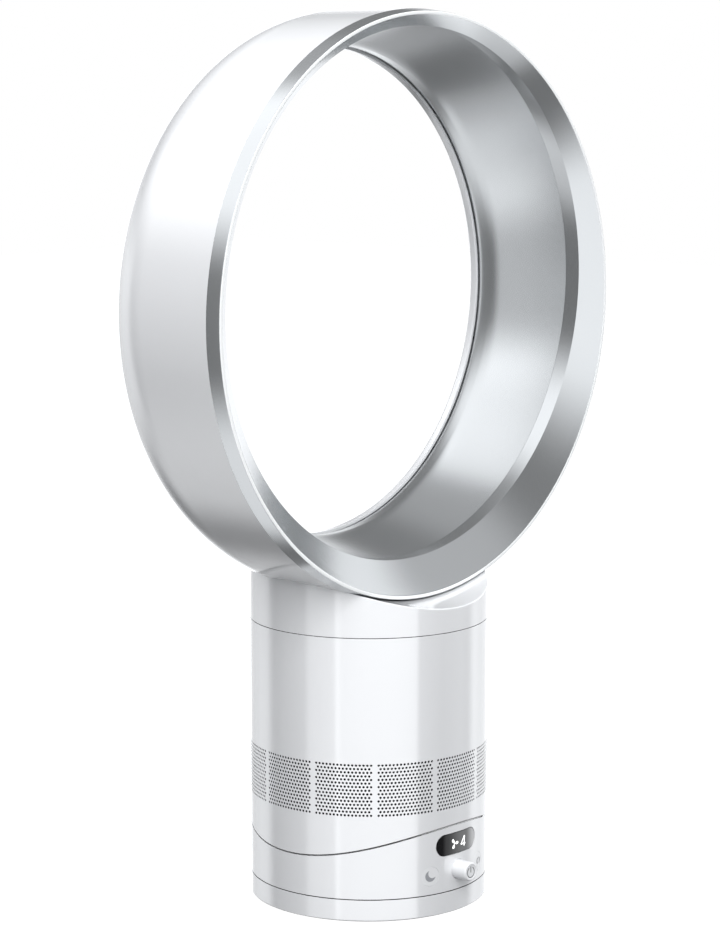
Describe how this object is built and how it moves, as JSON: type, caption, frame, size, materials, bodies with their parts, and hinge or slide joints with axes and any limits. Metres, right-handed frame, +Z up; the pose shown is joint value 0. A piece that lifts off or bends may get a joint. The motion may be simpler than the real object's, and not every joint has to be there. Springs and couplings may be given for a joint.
{
  "type": "bladeless fan",
  "caption": "Desk fan that blows air out of a slot around a round loop, on a cylindrical body that tilts and turns on its foot, with a display, a knob and buttons.",
  "frame": {"origin": "centre of the underside of the centre rubber pad, on the axis of the foot", "axes": "+Z up, -Y to the front where the display, knob and flare of the loop face, +X to the right of someone who looks at the front"},
  "size_m": [0.356, 0.1585, 0.5471],
  "materials": {
    "white_gloss": "gloss moulded",
    "silver_satin": "silver paint",
    "white_satin": "satin moulded",
    "dark_lens": "gloss tinted",
    "grey_plastic": "moulded",
    "black_plastic": "moulded",
    "rubber": "moulded",
    "ivory_plastic": "natural",
    "steel": "zinc plated",
    "board_green": "solder mask",
    "copper": "enamelled wire",
    "foam": "open cell",
    "impeller_grey": "moulded"
  },
  "bodies": {
    "foot": {"foot_ring": "white_gloss", "foot_plate": "grey_plastic", "rubber_feet": "rubber", "glide_ring": "ivory_plastic", "fixed_gear": "ivory_plastic", "gear_screws": "steel", "spindle_clip": "steel", "dc_socket": "black_plastic", "supply_lead": "rubber"},
    "base": {"base_shell": "white_gloss", "base_chassis": "grey_plastic", "spindle_bush": "ivory_plastic", "tilt_cradle": "white_gloss", "cradle_screws": "steel", "display_lens": "dark_lens", "display_module": "black_plastic", "switch_board": "board_green", "button_switches": "black_plastic", "encoder_housing": "black_plastic", "control_board": "board_green", "osc_motor": "steel", "motor_screws": "steel"},
    "osc_pinion": {"osc_pinion": "ivory_plastic"},
    "sleep_button": {"sleep_button": "white_satin"},
    "osc_button": {"osc_button": "white_satin"},
    "dial_rotor": {"encoder_rotor": "ivory_plastic"},
    "knob": {"control_knob": "white_satin"},
    "upper": {"body_shell": "white_gloss", "tilt_saddle": "grey_plastic", "tilt_hook": "steel", "hook_screws": "steel", "glide_pads": "ivory_plastic", "silencer_foam": "foam", "inlet_seal": "rubber", "impeller_housing": "grey_plastic", "diffuser": "grey_plastic", "motor_bucket": "grey_plastic", "bucket_cap": "grey_plastic", "motor_stator": "copper", "motor_bearings": "steel", "motor_board": "board_green", "isolator_ring": "rubber", "motor_lead": "rubber", "neck_socket": "grey_plastic", "top_seal": "rubber"},
    "impeller": {"impeller": "impeller_grey", "motor_rotor": "steel", "impeller_shaft": "steel"},
    "loop": {"neck_collar": "white_gloss", "neck_duct": "grey_plastic", "neck_screws": "steel", "loop_casing": "white_gloss", "front_bezel": "silver_satin", "inner_casing": "silver_satin", "slot_spacers": "silver_satin"}
  },
  "joints": [
    {"name": "oscillate", "type": "hinge", "parent": "foot", "child": "base", "pos_m": [0, 0, 0], "axis": [0, 0, 1], "range_deg": [-45, 45]},
    {"name": "pinion_turn", "type": "hinge", "parent": "base", "child": "osc_pinion", "pos_m": [0.036, 0, 0], "axis": [0, 0, 1], "range_deg": [-225, 225]},
    {"name": "tilt", "type": "hinge", "parent": "base", "child": "upper", "pos_m": [0, 0, 0.2127], "axis": [1, 0, 0], "range_deg": [-10, 10]},
    {"name": "impeller_spin", "type": "hinge", "parent": "upper", "child": "impeller", "pos_m": [0, 0, 0.12], "axis": [0, 0, 1], "continuous": true},
    {"name": "loop_twist", "type": "hinge", "parent": "upper", "child": "loop", "pos_m": [0, 0, 0.175], "axis": [0, 0, 1], "range_deg": [0, 16]},
    {"name": "sleep_press", "type": "slide", "parent": "base", "child": "sleep_button", "axis": [0, 1, 0], "range_m": [0, 0.0008], "stiffness_N_per_m": 1500, "springref_m": -0.0004},
    {"name": "oscillation_press", "type": "slide", "parent": "base", "child": "osc_button", "axis": [0, 1, 0], "range_m": [0, 0.0008], "stiffness_N_per_m": 1500, "springref_m": -0.0004},
    {"name": "airflow_dial", "type": "hinge", "parent": "base", "child": "dial_rotor", "pos_m": [0, -0.06, 0.0264], "axis": [0, -1, 0], "continuous": true},
    {"name": "power_press", "type": "slide", "parent": "dial_rotor", "child": "knob", "axis": [0, 1, 0], "range_m": [0, 0.0012], "stiffness_N_per_m": 2000, "springref_m": -0.0005}
  ],
  "couplings": [
    {"joint": "pinion_turn", "follows": "oscillate", "ratio": 5}
  ]
}
